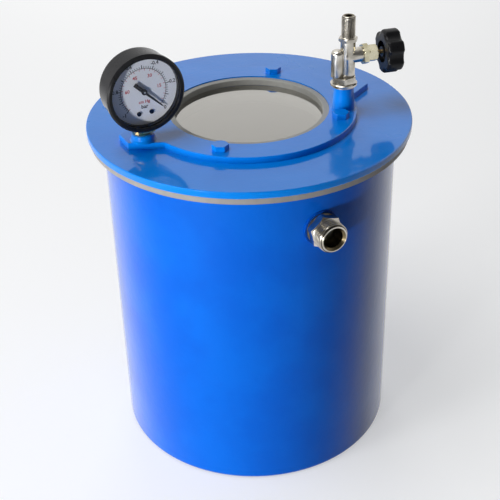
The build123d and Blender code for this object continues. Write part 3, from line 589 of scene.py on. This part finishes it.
brass = mottled(
    "turned_brass",
    low=(0.60, 0.38, 0.14, 1),
    high=(0.86, 0.64, 0.32, 1),
    rough=0.2,
    spread=0.2,
    scale=230,
    detail=3,
    depth=0.00006,
    Metallic=1.0,
)
BRASS_PIECES = (
    "gauge_stem",
    "gauge_movement_plates",
    "gauge_sector",
    "gauge_link",
    "valve_stem",
    "valve_knob_screw",
)
for brass_piece in BRASS_PIECES:
    dress(brass_piece, brass)

bronze = mottled(
    "drawn_bronze",
    low=(0.50, 0.28, 0.12, 1),
    high=(0.66, 0.42, 0.22, 1),
    rough=0.34,
    scale=300,
    Metallic=1.0,
)
dress("gauge_bourdon_tube", bronze)
dress("gauge_hairspring", bronze)

steel = mottled(
    "bright_steel",
    low=(0.40, 0.40, 0.41, 1),
    high=(0.55, 0.55, 0.56, 1),
    rough=0.25,
    spread=0.15,
    scale=600,
    Metallic=1.0,
)
dress("gauge_pointer_arbor", steel)

blackened = mottled(
    "blackened_steel",
    low=(0.03, 0.03, 0.035, 1),
    high=(0.07, 0.07, 0.08, 1),
    rough=0.3,
    scale=700,
    Metallic=1.0,
)
dress("gauge_dial_screws", blackened)

pointer_black = mottled(
    "pointer_black",
    low=(0.008, 0.008, 0.009, 1),
    high=(0.016, 0.016, 0.018, 1),
    rough=0.4,
    scale=500,
)
dress("gauge_pointer", pointer_black)

dial_white = mottled(
    "dial_white",
    low=(0.87, 0.89, 0.93, 1),
    high=(0.91, 0.93, 0.96, 1),
    rough=0.42,
    scale=70,
)
dress("gauge_dial", dial_white)


# ---------------------------------------------------------------- dial printing
# The dial is printed with two scales from zero at the lower right, anticlockwise to the lower
# left: a black outer one and a red inner one, with generic numbers.
GAUGE_TURN = math.radians(26)
GAUGE_BEARING = math.radians(-147.8)
GAUGE_FROM_AXIS = 0.0844
GAUGE_HEIGHT = 0.2945
GAUGE_CENTRE = np.array(
    (
        GAUGE_FROM_AXIS * math.cos(GAUGE_BEARING),
        GAUGE_FROM_AXIS * math.sin(GAUGE_BEARING),
        GAUGE_HEIGHT,
    )
)
GAUGE_RIGHT = np.array((math.cos(GAUGE_TURN), math.sin(GAUGE_TURN), 0))
GAUGE_FRONT = np.array((math.sin(GAUGE_TURN), -math.cos(GAUGE_TURN), 0))
GAUGE_UP = np.array((0, 0, 1.0))
PRINT_FACE = 0.00804
SCALE_START = math.radians(-45)
SCALE_SWEEP = math.radians(270)


def gauge_points(across, up):
    """Points of the print at a distance across and up from the dial's centre, as an array."""
    right = across[..., None] * GAUGE_RIGHT
    return GAUGE_CENTRE + right + up[..., None] * GAUGE_UP + PRINT_FACE * GAUGE_FRONT


def scale_marks(name, inner, rows, finish):
    """Scale lines as flat quads: at each bearing a rectangle from an inner to an outer radius.

    Each row is how many steps the sweep is cut in, the outer radius and the line's width.
    """
    corners = []
    for count, outer, width in rows:
        turn = (SCALE_START + SCALE_SWEEP * np.arange(count + 1) / count)[:, None]
        radii = np.array((inner, outer, outer, inner))
        sides = np.array((-1, -1, 1, 1)) * width / 2
        across = radii * np.cos(turn) - sides * np.sin(turn)
        up = radii * np.sin(turn) + sides * np.cos(turn)
        corners.append(gauge_points(across, up))
    points = np.concatenate(corners).reshape(-1, 3)
    faces = np.arange(len(points)).reshape(-1, 4)
    surface(name, points, faces, finish, "chamber")


def printing_ink(name, colour):
    """Matt printing ink of one colour."""
    ink = Finish(name, Base_Color=colour)
    ink.feed("Roughness", ink.noise(scale=900).between(0.45, 0.55))
    return ink


BLACK_SCALE_FOOT = 0.0158
BLACK_SCALE_ROWS = ((50, 0.0172, 0.00032), (10, 0.0180, 0.00052))
RED_SCALE_FOOT = 0.0156
RED_SCALE_ROWS = ((38, 0.0148, 0.00018), (19, 0.0142, 0.00030))
SCALE_ARC_RADIUS = 0.0157
SCALE_ARC_WIDTH = 0.00032
SCALE_ARC_STEPS = 90

ink_black = printing_ink("dial_ink_black", (0.015, 0.015, 0.02, 1))
ink_red = printing_ink("dial_ink_red", (0.55, 0.04, 0.05, 1))
scale_marks("dial_outer_scale", BLACK_SCALE_FOOT, BLACK_SCALE_ROWS, ink_black)
scale_marks("dial_inner_scale", RED_SCALE_FOOT, RED_SCALE_ROWS, ink_red)


def arc_band(name, radius, width, finish):
    """A printed arc: two rows of points at the arc's radius plus and minus half its width."""
    turn = SCALE_START + SCALE_SWEEP * np.linspace(0, 1, SCALE_ARC_STEPS + 1)
    radii = np.array((radius - width / 2, radius + width / 2))[:, None]
    points = gauge_points(radii * np.cos(turn), radii * np.sin(turn))
    inner = np.arange(SCALE_ARC_STEPS)
    outer = inner + SCALE_ARC_STEPS + 1
    faces = np.stack((inner + 1, outer + 1, outer, inner), 1)
    surface(name, points, faces, finish, "chamber")


arc_band("dial_scale_arc", SCALE_ARC_RADIUS, SCALE_ARC_WIDTH, ink_black)

TEXT_SIZE = 1.35
TEXT_SWELL = 0.03


def printed_text(name, words, place, height, finish):
    """Flat lettering centred at a place across and up on the dial, made a mesh."""
    curve = bpy.data.curves.new(name, "FONT")
    curve.body = words
    curve.size = height * TEXT_SIZE
    curve.offset = height * TEXT_SWELL
    curve.align_x = "CENTER"
    curve.align_y = "CENTER"
    curve.resolution_u = 2
    lettering = bpy.data.objects.new(name, curve)
    bpy.context.scene.collection.objects.link(lettering)
    mesh = bpy.data.meshes.new_from_object(lettering)
    bpy.data.objects.remove(lettering)
    bpy.data.curves.remove(curve)
    flat = mesh_points(mesh)
    placed = gauge_points(flat[:, 0] + place[0], flat[:, 1] + place[1])
    mesh.vertices.foreach_set("co", placed.ravel())
    mesh.update()
    add_piece(name, mesh, finish, "chamber")


BLACK_NUMBERS = ("0", "-0.2", "-0.4", "-0.6", "-0.8", "-1")
BLACK_NUMBER_RADIUS = 0.0201
BLACK_NUMBER_HEIGHT = 0.0026
RED_NUMBERS = {1: "15", 2: "30", 3: "45", 4: "60"}
RED_NUMBER_RADIUS = 0.0112
RED_NUMBER_HEIGHT = 0.0024
RED_UNIT_PLACE = (0, -0.0072)
RED_UNIT_HEIGHT = 0.0022
BLACK_UNIT_PLACE = (0, -0.0106)
BLACK_UNIT_HEIGHT = 0.0027


def on_scale(radius, step):
    """The place of a main step of the scale, across and up, at a radius."""
    turn = SCALE_START + SCALE_SWEEP * step / (len(BLACK_NUMBERS) - 1)
    return radius * math.cos(turn), radius * math.sin(turn)


for step, number in enumerate(BLACK_NUMBERS):
    place = on_scale(BLACK_NUMBER_RADIUS, step)
    printed_text(f"dial_number_{step}", number, place, BLACK_NUMBER_HEIGHT, ink_black)
    if step in RED_NUMBERS:
        place = on_scale(RED_NUMBER_RADIUS, step)
        printed_text(f"dial_red_{step}", RED_NUMBERS[step], place, RED_NUMBER_HEIGHT, ink_red)
printed_text("dial_unit_red", "cm Hg", RED_UNIT_PLACE, RED_UNIT_HEIGHT, ink_red)
printed_text("dial_unit_black", "bar", BLACK_UNIT_PLACE, BLACK_UNIT_HEIGHT, ink_black)


# ---------------------------------------------------------------- needle valve
# The body is forged brass, nickel-plated, with a one-eighth pipe thread at its outlet, on a
# copper washer. The lock ring and gland nut are yellower, and the knob is glossy black plastic.
# The outlet thread's grooves carry painted shade, partly standing for grime, and its bore painted
# shade.
VALVE_THREAD = Thread(
    root=(0.068667, -0.004058, 0.3091),
    direction=(0, 0, 1),
    radius=0.00486,
    length=0.0152,
    bevel=0.0008,
    pitch=0.000907,
    bore=0.0036,
    shaded_length=0.0149,
)
PALE_LOW = (0.58, 0.53, 0.36, 1)
PALE_HIGH = (0.80, 0.75, 0.56, 1)

valve_nickel = shaded_thread_nickel("valve_nickel", VALVE_THREAD)
threaded("valve_body_threaded", "valve_body", VALVE_THREAD, valve_nickel)
pale_brass = plated("pale_plating", PALE_LOW, PALE_HIGH, rough=0.2)
dress("valve_bonnet_ring", pale_brass)
dress("valve_gland_nut", pale_brass)

copper = mottled(
    "washer_copper",
    low=(0.50, 0.44, 0.38, 1),
    high=(0.70, 0.62, 0.54, 1),
    rough=0.3,
    scale=260,
    Metallic=1.0,
)
dress("valve_washer", copper)

packing = mottled(
    "valve_packing",
    low=(0.62, 0.62, 0.60, 1),
    high=(0.74, 0.74, 0.72, 1),
    rough=0.5,
    scale=600,
    detail=3,
)
dress("valve_packing", packing)

moulded = mottled(
    "knob_plastic",
    low=(0.005, 0.005, 0.006, 1),
    high=(0.011, 0.011, 0.012, 1),
    rough=0.24,
    spread=0.12,
    scale=180,
    depth=0.00012,
    Coat_Weight=0.06,
    Coat_Roughness=0.12,
    Specular_IOR_Level=0.12,
)
dress("valve_knob", moulded)


# ---------------------------------------------------------------- floor, light and camera
# The chamber stands on a plain pale floor. A large soft lamp hangs overhead, two smaller ones
# stand at the left and one behind, and the sky is white.
FLOOR_SIZE = 12
FLOOR_DROP = 0.0002
FLOOR_LIT = (0.26, 0.26, 0.26, 1)
FLOOR_SEEN = (0.52, 0.52, 0.52, 1)
FLOOR_GLOW = (0.47, 0.475, 0.48, 1)
DARK = (0, 0, 0, 1)


def floor_sheet(size, drop):
    """A square floor: four corners at plus and minus half its size, a little below zero."""
    half = size / 2
    corners = [(-half, -half, -drop), (half, -half, -drop), (half, half, -drop), (-half, half, -drop)]
    mesh = bpy.data.meshes.new("floor")
    mesh.from_pydata(corners, [], [(0, 1, 2, 3)])
    piece = bpy.data.objects.new("floor", mesh)
    bpy.context.scene.collection.objects.link(piece)
    return piece


def ray_kinds(tree):
    """1 on camera rays, and 1 on camera, mirrored and see-through rays alike."""
    rays = make_node(tree, "ShaderNodeLightPath").socket.node.outputs
    camera_rays = Value(tree, rays["Is Camera Ray"])
    mirror_rays = Value(tree, rays["Is Glossy Ray"])
    clear_rays = Value(tree, rays["Is Transmission Ray"])
    return camera_rays, (camera_rays + mirror_rays + clear_rays).smooth(0, 1)


floor = floor_sheet(FLOOR_SIZE, FLOOR_DROP)
pale_floor = Finish("pale_floor", Roughness=0.6, Emission_Strength=1.0)
_, seen = ray_kinds(pale_floor.tree)
pale_floor.feed("Base Color", pale_floor.blend(seen, FLOOR_LIT, FLOOR_SEEN))
pale_floor.feed("Emission Color", pale_floor.blend(seen, DARK, FLOOR_GLOW))
floor.data.materials.append(pale_floor.material)


def lamp(name, place, target, size, power):
    """A square area lamp at a place, turned to face a target."""
    light = bpy.data.lights.new(name, "AREA")
    light.size = size
    light.energy = power
    piece = bpy.data.objects.new(name, light)
    aim = (Vector(target) - Vector(place)).to_track_quat("-Z", "Y")
    piece.matrix_world = Matrix.Translation(place) @ aim.to_matrix().to_4x4()
    bpy.context.scene.collection.objects.link(piece)
    return piece


CHAMBER_LOW = (0, 0, 0.15)
CHAMBER_HIGH = (0, 0, 0.2)
lamp("soft_overhead", place=(-0.50, -0.22, 1.72), target=CHAMBER_HIGH, size=1.0, power=15.5)
lamp("key_left", place=(-1.32, -0.80, 0.42), target=CHAMBER_LOW, size=0.4, power=13)
lamp("low_front", place=(-0.87, -1.32, 0.16), target=CHAMBER_HIGH, size=0.14, power=14.5)
back_fill = lamp("back_fill", place=(-0.1, 1.7, 0.75), target=CHAMBER_LOW, size=0.8, power=9)
back_fill.visible_glossy = False

SKY_LIGHT = 0.05
SKY_SEEN = 0.87
SKY_FRONT = 0.08
SKY_FRONT_END = -0.5
SKY_BACK_START = 0.45

world = bpy.data.worlds.new("studio")
bpy.context.scene.world = world
world.use_nodes = True
sky = world.node_tree.nodes["Background"]
sky.inputs["Color"].default_value = (1, 1, 1, 1)
in_view, seen = ray_kinds(world.node_tree)
way = make_node(world.node_tree, "ShaderNodeTexCoord", output="Generated")
backward = make_node(world.node_tree, "ShaderNodeSeparateXYZ", None, {0: way}, "Y")
mirrored = seen * backward.smooth(SKY_FRONT_END, SKY_BACK_START).between(SKY_FRONT, SKY_SEEN)
join(world.node_tree, sky.inputs["Strength"], SKY_LIGHT + (in_view * SKY_SEEN).larger(mirrored))

CAMERA_PLACE = Vector((-0.00186, -0.68592, 0.57141))
CAMERA_PITCH = math.radians(32.287)
CAMERA_ROLL = math.radians(-1.579)
CAMERA_LENS = 76.107
CAMERA_SENSOR = 36

view_line = Vector((0, math.cos(CAMERA_PITCH), -math.sin(CAMERA_PITCH)))
level = Vector((1, 0, 0))
upward = level.cross(view_line)
side = math.cos(CAMERA_ROLL) * level + math.sin(CAMERA_ROLL) * upward
top = -math.sin(CAMERA_ROLL) * level + math.cos(CAMERA_ROLL) * upward
facing = Matrix((side, top, -view_line)).transposed().to_4x4()
view = bpy.data.cameras.new("view")
view.lens = CAMERA_LENS
view.sensor_width = CAMERA_SENSOR
camera = bpy.data.objects.new("view", view)
camera.matrix_world = Matrix.Translation(CAMERA_PLACE) @ facing
bpy.context.scene.collection.objects.link(camera)
bpy.context.scene.camera = camera
bpy.context.scene.view_settings.view_transform = "Standard"
